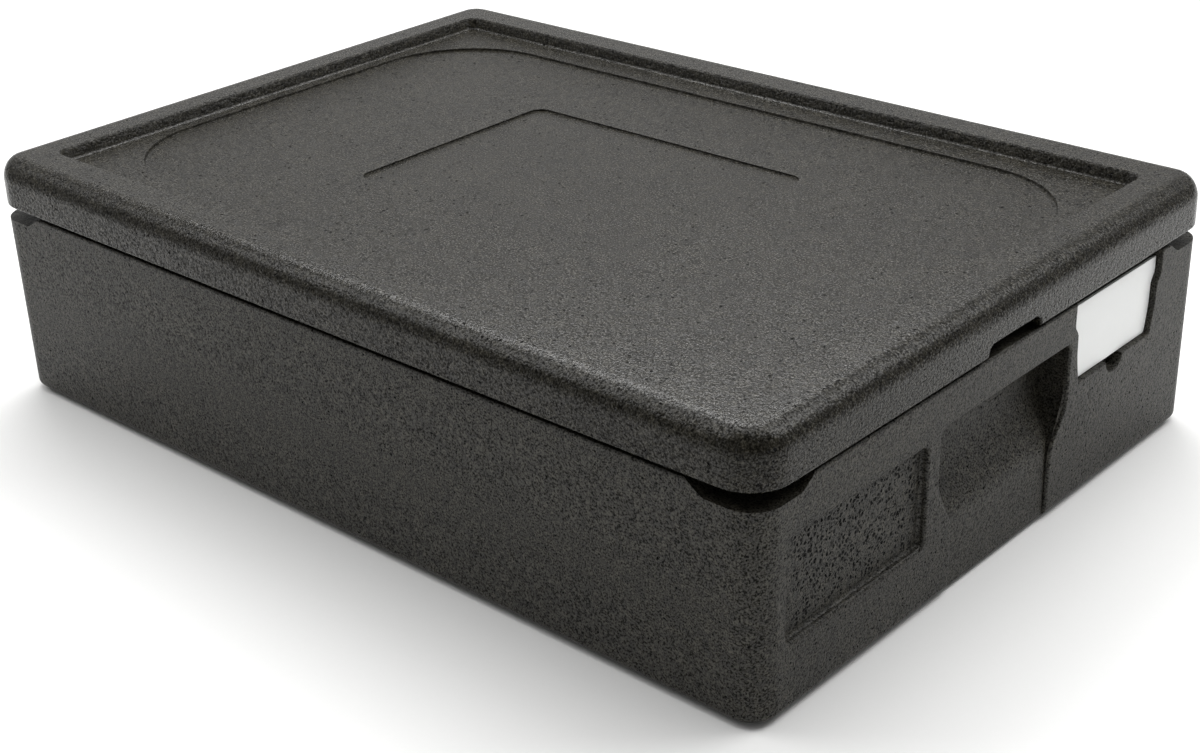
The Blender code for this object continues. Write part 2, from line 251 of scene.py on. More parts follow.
def outline(half_x, half_y, radius, steps=13):
    """Rounded rectangle, counter-clockwise, with the same point count at any size."""
    points = []
    for sign_x, sign_y, start in ((1, 1, 0.0), (-1, 1, 90.0), (-1, -1, 180.0), (1, -1, 270.0)):
        centre = (sign_x * (half_x - radius), sign_y * (half_y - radius))
        for angle in quarter(steps - 1, start, start + 90.0):
            points.append((centre[0] + radius * math.cos(angle), centre[1] + radius * math.sin(angle)))
    return points


def ring(half_x, half_y, radius, z):
    """Rounded rectangle at one height."""
    return [(x, y, z) for x, y in outline(half_x, half_y, radius)]


def loft(name, rings):
    """Closed mesh through rings of equal point count, capped at both ends."""
    mesh = bpy.data.meshes.new(name)
    bm = bmesh.new()
    loops = [[bm.verts.new(co) for co in points] for points in rings]
    count = len(loops[0])
    for lower, upper in zip(loops, loops[1:]):
        for i in range(count):
            j = (i + 1) % count
            bm.faces.new((lower[i], lower[j], upper[j], upper[i]))
    bm.faces.new(list(reversed(loops[0])))
    bm.faces.new(loops[-1])
    bmesh.ops.recalc_face_normals(bm, faces=bm.faces)
    bm.to_mesh(mesh)
    bm.free()
    obj = bpy.data.objects.new(name, mesh)
    bpy.context.scene.collection.objects.link(obj)
    return obj


def half_turn(points):
    """The same points turned half a turn about the upright axis."""
    return [(-x, -y, z) for x, y, z in points]


def carve(piece, cutters):
    """Cut the lofted shapes out of the piece and keep the result as plain mesh."""
    for cutter in cutters:
        modifier = piece.modifiers.new(cutter.name, "BOOLEAN")
        modifier.operation = "DIFFERENCE"
        modifier.solver = "EXACT"
        modifier.object = cutter
    bpy.context.view_layer.update()
    evaluated = piece.evaluated_get(bpy.context.evaluated_depsgraph_get())
    carved = bpy.data.meshes.new_from_object(evaluated)
    piece.modifiers.clear()
    shell = bmesh.new()
    shell.from_mesh(carved)
    closed = len(shell.faces) > 0 and all(edge.is_manifold for edge in shell.edges)
    shell.free()
    if not closed:
        raise RuntimeError(f"the cuts left {piece.name} open")
    old = piece.data
    piece.data = carved
    bpy.data.meshes.remove(old)
    for cutter in cutters:
        mesh = cutter.data
        bpy.data.objects.remove(cutter)
        bpy.data.meshes.remove(mesh)


def smooth_shading(piece, degrees=32.0):
    """Smooth faces with creases kept, and normals weighted so that flats stay flat."""
    mesh = piece.data
    bm = bmesh.new()
    bm.from_mesh(mesh)
    bmesh.ops.remove_doubles(bm, verts=bm.verts, dist=0.00002)
    bmesh.ops.dissolve_degenerate(bm, dist=0.00001, edges=bm.edges)
    for face in bm.faces:
        face.smooth = True
    bm.to_mesh(mesh)
    bm.free()
    mesh.set_sharp_from_angle(angle=math.radians(degrees))
    weighted = piece.modifiers.new("weighted_normals", "WEIGHTED_NORMAL")
    weighted.keep_sharp = True
    weighted.weight = 80


# ---------------------------------------------------------------- foam finish
def bead_foam(name, finish, colour, roughness, shine, coarse_field):
    """Steam-moulded expanded polypropylene bead foam, pigmented black.

    The mould leaves a thin satin skin over fused beads: each bead bulges a little and takes the
    light by itself, the joints between beads are darker, and small pits stay open where beads
    did not quite meet. The sunken field keeps many more open pits.
    """
    bead = finish.bead_size
    mat, tree, output = new_material(name)
    place = add_node(tree, "ShaderNodeTexCoord", {}, {}).outputs["Object"]

    # the beads' outlines wander a little, then come bead cells, fine grain and wide clouds
    wander = add_node(tree, "ShaderNodeTexNoise", {}, {
        "Vector": place, "Scale": 0.5 / bead, "Detail": 2.0})
    bent = add_node(tree, "ShaderNodeVectorMath", {"operation": "MULTIPLY_ADD"}, {
        0: wander.outputs["Color"], 1: (0.5 * bead, 0.5 * bead, 0.5 * bead), 2: place}).outputs[0]
    beads = add_node(tree, "ShaderNodeTexVoronoi", {"feature": "F1"}, {
        "Vector": bent, "Scale": 1.0 / bead, "Randomness": 0.95})
    joints = add_node(tree, "ShaderNodeTexVoronoi", {"feature": "DISTANCE_TO_EDGE"}, {
        "Vector": bent, "Scale": 1.0 / bead, "Randomness": 0.95})
    grain = add_node(tree, "ShaderNodeTexNoise", {}, {
        "Vector": place, "Scale": 2.7 / bead, "Detail": 2.0, "Roughness": 0.6})
    cloud = add_node(tree, "ShaderNodeTexNoise", {}, {
        "Vector": place, "Scale": 22.0, "Detail": 3.0, "Roughness": 0.55})
    tint = add_node(tree, "ShaderNodeSeparateColor", {}, {"Color": beads.outputs["Color"]})

    # open pits: one possible pit per cell, its radius drawn by the cell's own random value
    pit_cells = add_node(tree, "ShaderNodeTexVoronoi", {"feature": "F1"}, {
        "Vector": bent, "Scale": 1.0 / finish.pit_spacing, "Randomness": 1.0})
    pit_random = add_node(tree, "ShaderNodeSeparateColor", {}, {"Color": pit_cells.outputs["Color"]})
    pit_radius = add_node(tree, "ShaderNodeMapRange", {}, {
        "Value": pit_random.outputs["Red"], "From Min": 0.40, "From Max": 1.0,
        "To Min": 0.0, "To Max": 0.24}).outputs["Result"]
    if coarse_field:
        spot = add_node(tree, "ShaderNodeSeparateXYZ", {}, {"Vector": place})
        side = add_node(tree, "ShaderNodeMath", {"operation": "SIGN"}, {0: spot.outputs["X"]})
        across = add_node(tree, "ShaderNodeMath", {"operation": "MULTIPLY"}, {
            0: spot.outputs["Y"], 1: side.outputs[0]}).outputs[0]
        reach = add_node(tree, "ShaderNodeMath", {"operation": "ABSOLUTE"}, {0: spot.outputs["X"]})
        field = add_node(tree, "ShaderNodeMath", {"operation": "GREATER_THAN"}, {
            0: reach.outputs[0], 1: BODY_HIGH[0] - 0.0155}).outputs[0]
        # the field fades out over its four soft walls: where it is absent, where it is full
        walls = (
            (across, FIELD_Y[1] - 0.002, FIELD_Y[1] - 0.008),
            (across, FIELD_Y[0] - 0.0035, FIELD_Y[0] + 0.0145),
            (spot.outputs["Z"], FIELD_Z[0] - 0.0025, FIELD_Z[0] + 0.0055),
            (spot.outputs["Z"], FIELD_Z[1] + 0.010, FIELD_Z[1] - 0.006),
        )
        for place_across, absent, full in walls:
            wall = add_node(tree, "ShaderNodeMapRange", {"interpolation_type": "SMOOTHSTEP"}, {
                "Value": place_across, "From Min": absent, "From Max": full,
                "To Min": 0.0, "To Max": 1.0})
            field = add_node(tree, "ShaderNodeMath", {"operation": "MULTIPLY"}, {
                0: field, 1: wall.outputs["Result"]}).outputs[0]
        open_cells = add_node(tree, "ShaderNodeTexVoronoi", {"feature": "F1"}, {
            "Vector": bent, "Scale": 1.1 / bead, "Randomness": 1.0})
        open_random = add_node(tree, "ShaderNodeSeparateColor", {}, {
            "Color": open_cells.outputs["Color"]})
        open_radius = add_node(tree, "ShaderNodeMapRange", {}, {
            "Value": open_random.outputs["Green"], "From Min": 0.0, "From Max": 1.0,
            "To Min": 0.16, "To Max": 0.50}).outputs["Result"]
        open_edge = add_node(tree, "ShaderNodeMath", {"operation": "SUBTRACT"}, {
            0: open_radius, 1: open_cells.outputs["Distance"]}).outputs[0]
        open_pit = add_node(tree, "ShaderNodeMapRange", {"interpolation_type": "SMOOTHSTEP"}, {
            "Value": open_edge, "From Min": -0.02, "From Max": 0.04,
            "To Min": 0.0, "To Max": 1.0}).outputs["Result"]
        field_pit = add_node(tree, "ShaderNodeMath", {"operation": "MULTIPLY"}, {
            0: open_pit, 1: field}).outputs[0]
    past_edge = add_node(tree, "ShaderNodeMath", {"operation": "SUBTRACT"}, {
        0: pit_radius, 1: pit_cells.outputs["Distance"]}).outputs[0]
    pit = add_node(tree, "ShaderNodeMapRange", {"interpolation_type": "SMOOTHSTEP"}, {
        "Value": past_edge, "From Min": -0.03, "From Max": 0.07,
        "To Min": 0.0, "To Max": 1.0}).outputs["Result"]
    if coarse_field:
        pit = add_node(tree, "ShaderNodeMath", {"operation": "MAXIMUM"}, {
            0: pit, 1: field_pit}).outputs[0]

    # colour: bead-to-bead change, cloudy patches, darker joints, and painted shade that turns the open pits
    # nearly black
    base = linear(colour)
    bead_tone = add_node(tree, "ShaderNodeMix", {"data_type": "RGBA"}, {
        "Factor": tint.outputs["Red"], "A": scaled(base, 0.58), "B": scaled(base, 1.46)}).outputs["Result"]
    cloud_amount = add_node(tree, "ShaderNodeMapRange", {}, {
        "Value": cloud.outputs["Fac"], "From Min": 0.3, "From Max": 0.7,
        "To Min": 0.88, "To Max": 1.12}).outputs["Result"]
    joint_amount = add_node(tree, "ShaderNodeMapRange", {}, {
        "Value": joints.outputs["Distance"], "From Min": 0.0, "From Max": 0.09,
        "To Min": 0.55, "To Max": 1.0}).outputs["Result"]
    grain_amount = add_node(tree, "ShaderNodeMapRange", {}, {
        "Value": grain.outputs["Fac"], "From Min": 0.36, "From Max": 0.64,
        "To Min": 0.35, "To Max": 1.75}).outputs["Result"]
    patchy = add_node(tree, "ShaderNodeMath", {"operation": "MULTIPLY"}, {
        0: cloud_amount, 1: joint_amount}).outputs[0]
    shade = add_node(tree, "ShaderNodeMath", {"operation": "MULTIPLY"}, {
        0: patchy, 1: grain_amount}).outputs[0]
    toned = add_node(tree, "ShaderNodeVectorMath", {"operation": "SCALE"}, {
        0: bead_tone, "Scale": shade}).outputs[0]
    # painted shade: inside the open pits the colour drops to a tenth of the foam's own
    skin = add_node(tree, "ShaderNodeMix", {"data_type": "RGBA"}, {
        "Factor": pit, "A": toned, "B": scaled(base, 0.10)}).outputs["Result"]

    # gloss: satin skin, duller in the grain, dead matt inside the pits
    grain_rough = add_node(tree, "ShaderNodeMapRange", {}, {
        "Value": grain.outputs["Fac"], "From Min": 0.35, "From Max": 0.68,
        "To Min": roughness - 0.10, "To Max": roughness + 0.16}).outputs["Result"]
    rough = add_node(tree, "ShaderNodeMath", {"operation": "MAXIMUM"}, {
        0: grain_rough, 1: pit}).outputs[0]
    skin_shine = add_node(tree, "ShaderNodeMapRange", {}, {
        "Value": grain.outputs["Fac"], "From Min": 0.38, "From Max": 0.62,
        "To Min": 0.04, "To Max": shine}).outputs["Result"]

    # relief, in metres: bulging beads, fine grain and pits
    bulge = add_node(tree, "ShaderNodeMath", {"operation": "MULTIPLY"}, {
        0: beads.outputs["Distance"], 1: -0.00022}).outputs[0]
    height = add_node(tree, "ShaderNodeMath", {"operation": "MULTIPLY_ADD"}, {
        0: grain.outputs["Fac"], 1: 0.00026, 2: bulge}).outputs[0]
    height = add_node(tree, "ShaderNodeMath", {"operation": "MULTIPLY_ADD"}, {
        0: pit, 1: -0.0010, 2: height}).outputs[0]
    relief = add_node(tree, "ShaderNodeBump", {}, {
        "Strength": 1.0, "Distance": 1.0, "Height": height})
    shader = add_node(tree, "ShaderNodeBsdfPrincipled", {}, {
        "Base Color": skin, "Roughness": rough, "IOR": 1.49,
        "Specular IOR Level": skin_shine,
        "Normal": relief.outputs["Normal"]})
    tree.links.new(shader.outputs["BSDF"], output.inputs["Surface"])
    return mat


def plate_plastic(name, colour):
    """Injection-moulded white polypropylene: smooth, half glossy, faintly uneven."""
    mat, tree, output = new_material(name)
    place = add_node(tree, "ShaderNodeTexCoord", {}, {}).outputs["Object"]
    sink = add_node(tree, "ShaderNodeTexNoise", {}, {"Vector": place, "Scale": 45.0, "Detail": 2.0})
    spark = add_node(tree, "ShaderNodeTexNoise", {}, {"Vector": place, "Scale": 1500.0, "Detail": 1.0})
    base = linear(colour)
    tone = add_node(tree, "ShaderNodeMix", {"data_type": "RGBA"}, {
        "Factor": sink.outputs["Fac"], "A": scaled(base, 0.96),
        "B": base}).outputs["Result"]
    rough = add_node(tree, "ShaderNodeMapRange", {}, {
        "Value": spark.outputs["Fac"], "From Min": 0.3, "From Max": 0.7,
        "To Min": 0.30, "To Max": 0.42}).outputs["Result"]
    relief = add_node(tree, "ShaderNodeBump", {}, {
        "Strength": 0.25, "Distance": 0.00003, "Height": spark.outputs["Fac"]})
    shader = add_node(tree, "ShaderNodeBsdfPrincipled", {}, {
        "Base Color": tone, "Roughness": rough, "IOR": 1.49,
        "Normal": relief.outputs["Normal"]})
    tree.links.new(shader.outputs["BSDF"], output.inputs["Surface"])
    return mat


# ---------------------------------------------------------------- tub shape
class TubShape:
    """Sizes of the tub taken from the frame and the settings."""

    def __init__(self, sizes):
        self.sizes = sizes
        self.rim = LID_LOW_EDGE - sizes.shadow_gap
        self.land = BODY_HIGH[2]
        self.half_x = LID_HIGH[0] - sizes.side_inset
        self.half_y = LID_HIGH[1] - sizes.side_inset
        self.cavity_x = self.half_x - sizes.wall
        self.cavity_y = self.half_y - sizes.wall

    def lean(self, z):
        """How far the drafted side stands in at height z."""
        clipped = max(z, self.sizes.foot_height)
        return self.sizes.side_draft * (self.rim - clipped) / (self.rim - self.sizes.foot_height)

    def on_end(self, y, z, depth):
        """Point at a depth behind the drafted short end."""
        return (self.half_x - self.lean(z) - depth, y, z)


def tub_rings(shape):
    """Rings from the underside, over the rim and down to the tray floor."""
    s = shape.sizes
    foot_x = LID_HIGH[0] - FOOT_INSET[0]
    foot_y = LID_HIGH[1] - FOOT_INSET[1]
    rings = [ring(foot_x - 0.0015, foot_y - 0.0015, 0.0085, 0.0)]
    rings.append(ring(foot_x - 0.0003, foot_y - 0.0003, 0.0097, 0.001))
    rings.append(ring(foot_x, foot_y, 0.010, s.foot_height))
    for angle in quarter(6, -90.0, 0.0):
        z = s.foot_height + s.bottom_radius * (1.0 + math.sin(angle))
        inset = s.bottom_radius * (1.0 - math.cos(angle)) + shape.lean(z)
        rings.append(ring(shape.half_x - inset, shape.half_y - inset, s.corner_radius - inset, z))
    edge = 0.0018
    for angle in quarter(4):
        z = shape.rim - edge * (1.0 - math.sin(angle))
        inset = edge * (1.0 - math.cos(angle)) + shape.lean(z)
        rings.append(ring(shape.half_x - inset, shape.half_y - inset, s.corner_radius - inset, z))
    land_x = shape.cavity_x + s.land_width
    land_y = shape.cavity_y + s.land_width
    for angle in quarter(3, 270.0, 180.0):
        grow = 0.001 * (1.0 + math.cos(angle))
        z = shape.rim + 0.001 * (1.0 + math.sin(angle))
        rings.append(ring(land_x + grow, land_y + grow, CAVITY_RADIUS + grow, z))
    for angle in quarter(3):
        z = shape.land - 0.0009 * (1.0 - math.sin(angle))
        inset = 0.0004 + 0.0009 * (1.0 - math.cos(angle))
        rings.append(ring(land_x - inset, land_y - inset, CAVITY_RADIUS - inset, z))
    for angle in quarter(4, 90.0, 180.0):
        z = shape.land - 0.0015 * (1.0 - math.sin(angle))
        grow = 0.0015 * (1.0 + math.cos(angle))
        rings.append(ring(shape.cavity_x + grow, shape.cavity_y + grow, CAVITY_RADIUS + grow, z))
    fillet, draft = 0.008, 0.003
    floor_radius = CAVITY_RADIUS + draft
    for angle in quarter(6):
        z = s.floor + fillet * (1.0 - math.sin(angle))
        inset = draft + fillet * (1.0 - math.cos(angle))
        rings.append(ring(shape.cavity_x - inset, shape.cavity_y - inset, floor_radius - inset, z))
    return rings


def lift_notch_cutter(shape, name, sign_x, sign_y):
    """Corner scoop with sloping ends, a rounded foot and rounded upper edges."""
    s = shape.sizes
    radius = 0.022
    bottom = shape.rim - s.notch_depth
    end_run = 0.0108
    slope = end_run / s.notch_depth
    levels = []
    for angle in quarter(4):
        levels.append((bottom + 0.002 * (1.0 - math.sin(angle)), -0.002 * (1.0 - math.cos(angle))))
    levels.sort()
    for angle in quarter(4):
        levels.append((shape.rim - 0.002 * (1.0 - math.sin(angle)), 0.002 * (1.0 - math.cos(angle))))
    levels.append((shape.rim + OVERCUT, 0.002))
    rings = []
    for z, grow in levels:
        reach = s.notch_reach + slope * (min(z, shape.rim) - shape.rim) + grow
        near = s.notch_inward + min(grow, 0.0)
        centre = s.notch_inward + radius
        arc = radius - min(grow, 0.0)
        points = [(-OVERCUT, -OVERCUT), (reach, -OVERCUT), (reach, near)]
        for angle in quarter(10, 270.0, 180.0):
            points.append((centre + arc * math.cos(angle), centre + arc * math.sin(angle)))
        points += [(near, reach), (-OVERCUT, reach)]
        rings.append([(sign_x * (shape.half_x - u), sign_y * (shape.half_y - v), z) for u, v in points])
    return loft(name, rings)


def grip_half_width(s, z):
    """Half width of the grip outline at height z: wide hollow, rounded shoulders, channel."""
    low, high = 0.046, 0.078
    if z <= low:
        share = 0.0
    elif z >= high:
        share = 1.0
    else:
        t = (z - low) / (high - low)
        share = t * t * (3.0 - 2.0 * t)
    return 0.5 * (s.grip_channel + (s.grip_width - s.grip_channel) * share)


def grip_outline(s, bottom, grow):
    """Closed grip outline from a bottom height up to the underside of the bar."""
    rows = 18
    corner = 0.004
    top = s.grip_top + grow
    right = []
    for i in range(rows + 1):
        z = bottom + (top - corner - bottom) * i / rows
        right.append((grip_half_width(s, z) + grow, z))
    half = right[-1][0]
    for angle in quarter(4)[1:]:
        right.append((half - corner * (1.0 - math.cos(angle)), top - corner * (1.0 - math.sin(angle))))
    return right + [(-y, z) for y, z in reversed(right)]


def grip_cutter(shape, name, turned):
    """Finger hollow: deep under the bar, sloping out to a shallow channel at the foot."""
    lip = 0.0020
    rings = [(-OVERCUT, lip, -OVERCUT)]
    for angle in quarter(4, 90.0, 0.0):
        rings.append((lip * (1.0 - math.sin(angle)), lip * (1.0 - math.cos(angle)), -OVERCUT))
    rings += [(depth, 0.0, bottom) for depth, bottom in GRIP_SLOPE]
    placed = []
    for depth, grow, bottom in rings:
        flat = grip_outline(shape.sizes, bottom, grow)
        points = [shape.on_end(y, z, depth) for y, z in flat]
        placed.append(half_turn(points) if turned else points)
    return loft(name, placed)


def field_cutter(shape, name, turned):
    """Shallow sunken field with soft edges, beside the grip."""
    depth = shape.sizes.field_depth
    soft = 0.0022
    mid_y, half_y = 0.5 * (FIELD_Y[0] + FIELD_Y[1]), 0.5 * (FIELD_Y[1] - FIELD_Y[0])
    mid_z, half_z = 0.5 * (FIELD_Z[0] + FIELD_Z[1]), 0.5 * (FIELD_Z[1] - FIELD_Z[0])
    levels = []
    for a in quarter(4):
        levels.append((depth - soft * (1.0 - math.cos(a)), -soft * (1.0 - math.sin(a))))
    for a in quarter(4):
        levels.append((soft * (1.0 - math.sin(a)), soft * (1.0 - math.cos(a))))
    levels.append((-OVERCUT, soft))
    placed = []
    for deep, grow in levels:
        flat = outline(half_y + grow, half_z + grow, 0.005 + grow, 6)
        points = [shape.on_end(mid_y + y, mid_z + z, deep) for y, z in flat]
        placed.append(half_turn(points) if turned else points)
    return loft(name, placed)


def plate_outline(grow, top):
    """Label plate profile across Y and Z: a wide band, stepped sides and clipped feet."""
    wide = 0.5 * (PLATE_HIGH[1] - PLATE_LOW[1]) + grow
    foot = PLATE_LOW[2] - grow
    half = [
        (wide, top),
        (wide, 0.1290),
        (wide - 0.0004, 0.1262),
        (wide - 0.0030, 0.1228),
        (wide - 0.0044, 0.1200),
        (wide - 0.0046, 0.1150),
        (wide - 0.0050, 0.1065),
        (wide - 0.0060, 0.1000),
        (wide - 0.0078, 0.0915),
        (wide - 0.0085, foot + 0.0020),
        (wide - 0.0092, foot + 0.0006),
        (wide - 0.0106, foot),
    ]
    right = [(PLATE_MID_Y + y, z) for y, z in half]
    return right + [(PLATE_MID_Y - y, z) for y, z in reversed(half)]


def pocket_cutter(shape, name, turned):
    """Pocket for the label plate, open to the front and the top, with a soft mouth."""
    back = PLATE_LOW[0] - POCKET_CLEARANCE
    top = shape.rim + OVERCUT
    lip = 0.0010
    rings = [[(back, y, z) for y, z in plate_outline(POCKET_CLEARANCE, top)]]
    for a in quarter(3):
        grown = plate_outline(POCKET_CLEARANCE + lip * (1.0 - math.cos(a)), top)
        rings.append([shape.on_end(y, z, lip * (1.0 - math.sin(a))) for y, z in grown])
    grown = plate_outline(POCKET_CLEARANCE + lip, top)
    rings.append([shape.on_end(y, z, -OVERCUT) for y, z in grown])
    return loft(name, [half_turn(points) if turned else points for points in rings])


def push_notch_cutter(shape, name, turned):
    """Half-round finger notch at the foot of the pocket."""
    radius = 0.0100
    foot = PLATE_LOW[2]
    lip = 0.0012
    placed = []
    levels = [(0.010, -0.001), (0.009, 0.0)]
    levels += [(lip * (1.0 - math.sin(a)), lip * (1.0 - math.cos(a))) for a in quarter(3)]
    levels.append((-OVERCUT, lip))
    for depth, grow in levels:
        round_part = radius + grow
        flat = [(PLATE_MID_Y + round_part, foot + 0.003)]
        for angle in quarter(14, 0.0, -180.0):
            y = PLATE_MID_Y + round_part * math.cos(angle)
            flat.append((y, foot + 0.92 * round_part * math.sin(angle)))
        flat.append((PLATE_MID_Y - round_part, foot + 0.003))
        points = [shape.on_end(y, z, depth) for y, z in flat]
        placed.append(half_turn(points) if turned else points)
    return loft(name, placed)


# ---------------------------------------------------------------- lid shape
def lid_rings(sizes, tub):
    """Rings from the plug underside, around the skirt and down to the top panel."""
    half_x, half_y = LID_HIGH[0], LID_HIGH[1]
    plug_x = half_x - tub.side_inset - tub.wall - PLUG_CLEARANCE
    plug_y = half_y - tub.side_inset - tub.wall - PLUG_CLEARANCE
    low = LID_LOW[2]
    rings = []
    for angle in quarter(5, -90.0, 0.0):
        inset = 0.0012 + 0.003 * (1.0 - math.cos(angle))
        z = low + 0.003 * (1.0 + math.sin(angle))
        rings.append(ring(plug_x - inset, plug_y - inset, CAVITY_RADIUS - inset, z))
    for angle in quarter(3, 180.0, 90.0):
        grow = 0.0012 * (1.0 + math.cos(angle))
        z = LID_LOW_EDGE - 0.0004 * (1.0 - math.sin(angle))
        side = 0.2 * grow - 0.0002
        rings.append(ring(plug_x + side, plug_y + side, CAVITY_RADIUS, z))
    edge = 0.0018
    for angle in quarter(4, -90.0, 0.0):
        inset = edge * (1.0 - math.cos(angle))
        z = LID_LOW_EDGE + edge * (1.0 + math.sin(angle))
        rings.append(ring(half_x - inset, half_y - inset, sizes.corner_radius - inset, z))
    for angle in quarter(12):
        inset = sizes.top_radius * (1.0 - math.cos(angle))
        z = LID_HIGH[2] - sizes.top_radius * (1.0 - math.sin(angle))
        tighter = (sizes.corner_radius - sizes.top_corner) * inset / sizes.top_radius
        rings.append(ring(half_x - inset, half_y - inset, sizes.corner_radius - tighter, z))
    recess_x = half_x - sizes.rim_x
    recess_y = half_y - sizes.rim_y
    soft = 0.0012
    for angle in quarter(4, 90.0, 0.0):
        grow = soft * math.sin(angle)
        z = LID_HIGH[2] - soft * (1.0 - math.sin(angle))
        rings.append(ring(recess_x + grow, recess_y + grow, RECESS_CORNER + grow, z))
    recess_z = LID_HIGH[2] - sizes.recess_depth
    slope, foot = 0.0022, 0.0022
    for angle in quarter(5):
        grow = -slope - foot * (1.0 - math.cos(angle))
        z = recess_z + foot * (1.0 - math.sin(angle))
        rings.append(ring(recess_x + grow, recess_y + grow, RECESS_CORNER + grow, z))
    panel_x = recess_x - PANEL_MARGIN[0]
    panel_y = recess_y - PANEL_MARGIN[1]
    panel_z = recess_z - sizes.panel_depth
    for share in (0.0, 0.12, 0.35, 0.65, 0.88, 1.0):
        inset = 0.0007 * share
        fall = share * share * (3.0 - 2.0 * share)
        z = recess_z - sizes.panel_depth * fall
        rings.append(ring(panel_x - inset, panel_y - inset, PANEL_CORNER - inset, z))
    flat_inset = 0.004
    rings.append(ring(panel_x - flat_inset, panel_y - flat_inset, PANEL_CORNER - flat_inset, panel_z))
    return rings


def badge_cutter(sizes):
    """Bare rectangular recess in the middle of the lid."""
    panel_z = LID_HIGH[2] - sizes.recess_depth - sizes.panel_depth
    half_x, half_y, radius = 0.123, 0.091, 0.010
    soft = min(0.0003, 0.5 * sizes.badge_depth)
    rings = []
    for angle in quarter(4):
        inset = soft * (1.0 - math.sin(angle))
        z = panel_z - sizes.badge_depth + soft * (1.0 - math.cos(angle))
        rings.append(ring(half_x - inset, half_y - inset, radius - inset, z))
    for angle in quarter(4):
        grow = soft * (1.0 - math.cos(angle))
        z = panel_z - soft * (1.0 - math.sin(angle))
        rings.append(ring(half_x + grow, half_y + grow, radius + grow, z))
    rings.append(ring(half_x + soft, half_y + soft, radius + soft, panel_z + 0.003))
    return loft("badge_recess", rings)


def lid_notch_cutter(sizes, name, turned):
    """Finger notch in the lower edge of the lid, at the middle of a short end."""
    half, radius = 0.0285, 0.0064
    lip = 0.0014
    placed = []
    levels = [(0.014, -0.001), (0.013, 0.0)]
    levels += [(lip * (1.0 - math.sin(a)), lip * (1.0 - math.cos(a))) for a in quarter(3)]
    levels.append((-OVERCUT, lip))
    for depth, grow in levels:
        top = LID_LOW_EDGE + sizes.notch_height + grow
        wide = half + grow
        flat = [(wide, LID_LOW_EDGE - 0.005)]
        for a in quarter(7):
            flat.append((wide - radius * (1.0 - math.cos(a)), top - radius * (1.0 - math.sin(a))))
        flat += [(-y, z) for y, z in reversed(flat)]
        points = [(LID_HIGH[0] - depth, y, z) for y, z in flat]
        placed.append(half_turn(points) if turned else points)
    return loft(name, placed)


# ---------------------------------------------------------------- operators
class CARRIER_OT_tub(bpy.types.Operator):
    """Build the foam tub with its notches, grips, coarse fields and label pockets"""

    bl_idname = "carrier.tub"
    bl_label = "Tub"

    def execute(self, context):
        finish = context.scene.carrier_finish
        shape = TubShape(context.scene.carrier_tub)
        tub = loft("foam_tub", tub_rings(shape))
        cutters = []
        for end, turned in (("right", False), ("left", True)):
            cutters.append(grip_cutter(shape, "grip_" + end, turned))
            cutters.append(field_cutter(shape, "field_" + end, turned))
            cutters.append(pocket_cutter(shape, "pocket_" + end, turned))
            cutters.append(push_notch_cutter(shape, "push_" + end, turned))
        for end, sign_x in (("right", 1), ("left", -1)):
            for side, sign_y in (("front", -1), ("rear", 1)):
                cutters.append(lift_notch_cutter(shape, f"notch_{end}_{side}", sign_x, sign_y))
        carve(tub, cutters)
        smooth_shading(tub)
        tub.data.materials.clear()
        tub.data.materials.append(bead_foam(
            "steam_moulded_bead_foam_tub", finish, finish.tub_colour,
            finish.tub_roughness, finish.tub_shine, True))
        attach(tub, "box")
        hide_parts("body")
        return {"FINISHED"}


class CARRIER_OT_lid(bpy.types.Operator):
    """Build the foam lid with its plug, recesses and finger notches"""

    bl_idname = "carrier.lid"
    bl_label = "Lid"

    def execute(self, context):
        sizes = context.scene.carrier_lid
        finish = context.scene.carrier_finish
        lid = loft("foam_lid", lid_rings(sizes, context.scene.carrier_tub))
        carve(lid, [
            badge_cutter(sizes),
            lid_notch_cutter(sizes, "lid_notch_right", False),
            lid_notch_cutter(sizes, "lid_notch_left", True),
        ])
        smooth_shading(lid)
        lid.data.materials.clear()
        lid.data.materials.append(bead_foam(
            "steam_moulded_bead_foam_lid", finish, finish.lid_colour,
            finish.lid_roughness, finish.lid_shine, False))
        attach(lid, "lid")
        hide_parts("lid")
        return {"FINISHED"}


class CARRIER_OT_label_plates(bpy.types.Operator):
    """Build the two white label plates"""

    bl_idname = "carrier.label_plates"
    bl_label = "Label plates"

    def execute(self, context):
        finish = context.scene.carrier_finish
        white = plate_plastic("injection_moulded_polypropylene_white", finish.plate_colour)
        edge = 0.0005
        levels = []
        for a in quarter(3):
            levels.append((PLATE_LOW[0] + edge * (1.0 - math.cos(a)), edge * (1.0 - math.sin(a))))
        for a in quarter(3):
            levels.append((PLATE_HIGH[0] - edge * (1.0 - math.sin(a)), edge * (1.0 - math.cos(a))))
        for end, turned in (("right", False), ("left", True)):
            rings = []
            for x, shrink in levels:
                points = [(x, y, z) for y, z in plate_outline(-shrink, PLATE_HIGH[2] - shrink)]
                rings.append(half_turn(points) if turned else points)
            plate = loft("label_plate_" + end + "_look", rings)
            smooth_shading(plate, 50.0)
            plate.data.materials.append(white)
            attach(plate, "label_" + end)
            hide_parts("label_plate_" + end)
        return {"FINISHED"}


